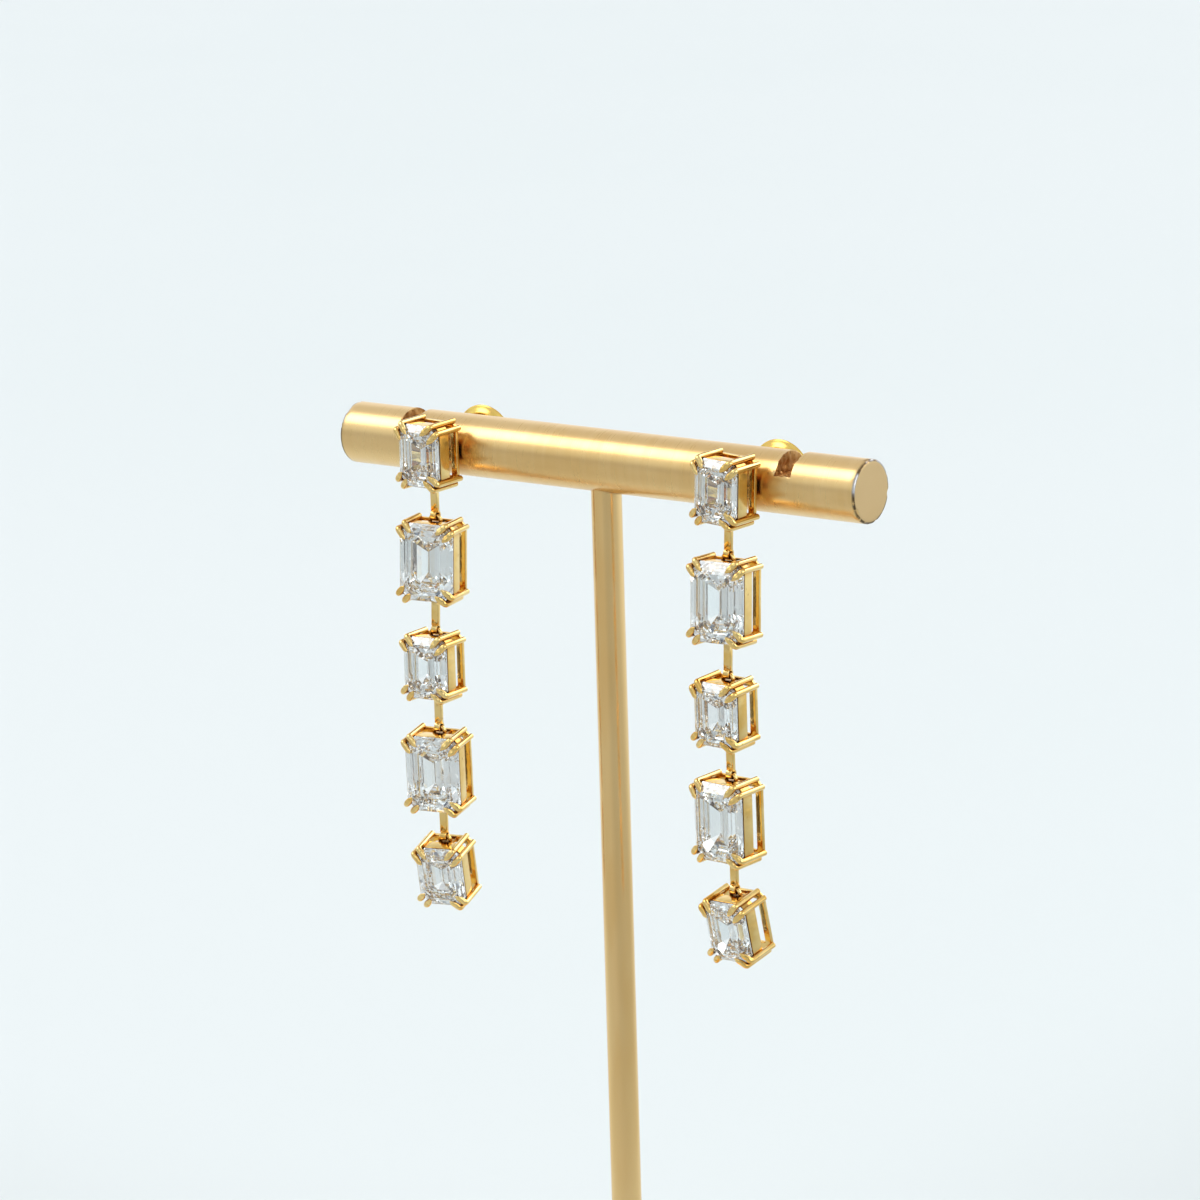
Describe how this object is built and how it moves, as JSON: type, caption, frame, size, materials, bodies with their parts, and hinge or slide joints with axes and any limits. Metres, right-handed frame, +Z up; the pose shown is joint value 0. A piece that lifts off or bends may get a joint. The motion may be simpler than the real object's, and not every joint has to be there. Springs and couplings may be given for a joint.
{
  "type": "pair of dangle earrings on a t-bar stand",
  "caption": "Pair of long drop earrings: step-cut stones in open claw baskets, each hinged on the one above, their posts through the bar of a round-footed T-bar stand.",
  "frame": {"origin": "middle of the stand's underside, on the surface it stands on", "axes": "+Z up along the stem, +X along the bar, -Y to the front, where the stones face"},
  "size_m": [0.06, 0.06, 0.1033],
  "materials": {
    "satin_gold": "satin brushed gold plate",
    "base_gold": "satin gold plate on steel",
    "polished_gold": "polished yellow gold",
    "clutch_gold": "polished yellow gold sheet",
    "diamond": "polished colourless stone"
  },
  "bodies": {
    "stand_and_studs": {"stand_base": "base_gold", "stand_stem": "satin_gold", "stand_bar": "satin_gold", "right_basket_1": "polished_gold", "right_stone_1": "diamond", "right_clutch": "clutch_gold", "left_basket_1": "polished_gold", "left_stone_1": "diamond", "left_clutch": "clutch_gold"},
    "right_drop_2": {"right_basket_2": "polished_gold", "right_stone_2": "diamond"},
    "right_drop_3": {"right_basket_3": "polished_gold", "right_stone_3": "diamond"},
    "right_drop_4": {"right_basket_4": "polished_gold", "right_stone_4": "diamond"},
    "right_drop_5": {"right_basket_5": "polished_gold", "right_stone_5": "diamond"},
    "left_drop_2": {"left_basket_2": "polished_gold", "left_stone_2": "diamond"},
    "left_drop_3": {"left_basket_3": "polished_gold", "left_stone_3": "diamond"},
    "left_drop_4": {"left_basket_4": "polished_gold", "left_stone_4": "diamond"},
    "left_drop_5": {"left_basket_5": "polished_gold", "left_stone_5": "diamond"}
  },
  "joints": [
    {"name": "right_swing_2", "type": "hinge", "parent": "stand_and_studs", "child": "right_drop_2", "pos_m": [0.01674, -0.00413, 0.09362], "axis": [0.9969, 0.0785, 0.007], "range_deg": [-40, 40]},
    {"name": "right_swing_3", "type": "hinge", "parent": "right_drop_2", "child": "right_drop_3", "pos_m": [0.01687, -0.00483, 0.08235], "axis": [0.9993, -0.0314, -0.0192], "range_deg": [-40, 40]},
    {"name": "right_swing_4", "type": "hinge", "parent": "right_drop_3", "child": "right_drop_4", "pos_m": [0.0167, -0.00445, 0.07259], "axis": [0.9977, -0.068, -0.0035], "range_deg": [-40, 40]},
    {"name": "right_swing_5", "type": "hinge", "parent": "right_drop_4", "child": "right_drop_5", "pos_m": [0.01667, -0.00421, 0.0613], "axis": [0.9964, -0.0767, 0.0349], "range_deg": [-40, 40]},
    {"name": "left_swing_2", "type": "hinge", "parent": "stand_and_studs", "child": "left_drop_2", "pos_m": [-0.01751, -0.0041, 0.09368], "axis": [0.9747, 0.2214, -0.0314], "range_deg": [-40, 40]},
    {"name": "left_swing_3", "type": "hinge", "parent": "left_drop_2", "child": "left_drop_3", "pos_m": [-0.01783, -0.00429, 0.08239], "axis": [0.9952, 0.0976, 0.0122], "range_deg": [-40, 40]},
    {"name": "left_swing_4", "type": "hinge", "parent": "left_drop_3", "child": "left_drop_4", "pos_m": [-0.01769, -0.0045, 0.07263], "axis": [0.9689, 0.247, -0.0157], "range_deg": [-40, 40]},
    {"name": "left_swing_5", "type": "hinge", "parent": "left_drop_4", "child": "left_drop_5", "pos_m": [-0.01804, -0.00384, 0.06136], "axis": [0.9711, 0.2385, 0.0087], "range_deg": [-40, 40]}
  ]
}
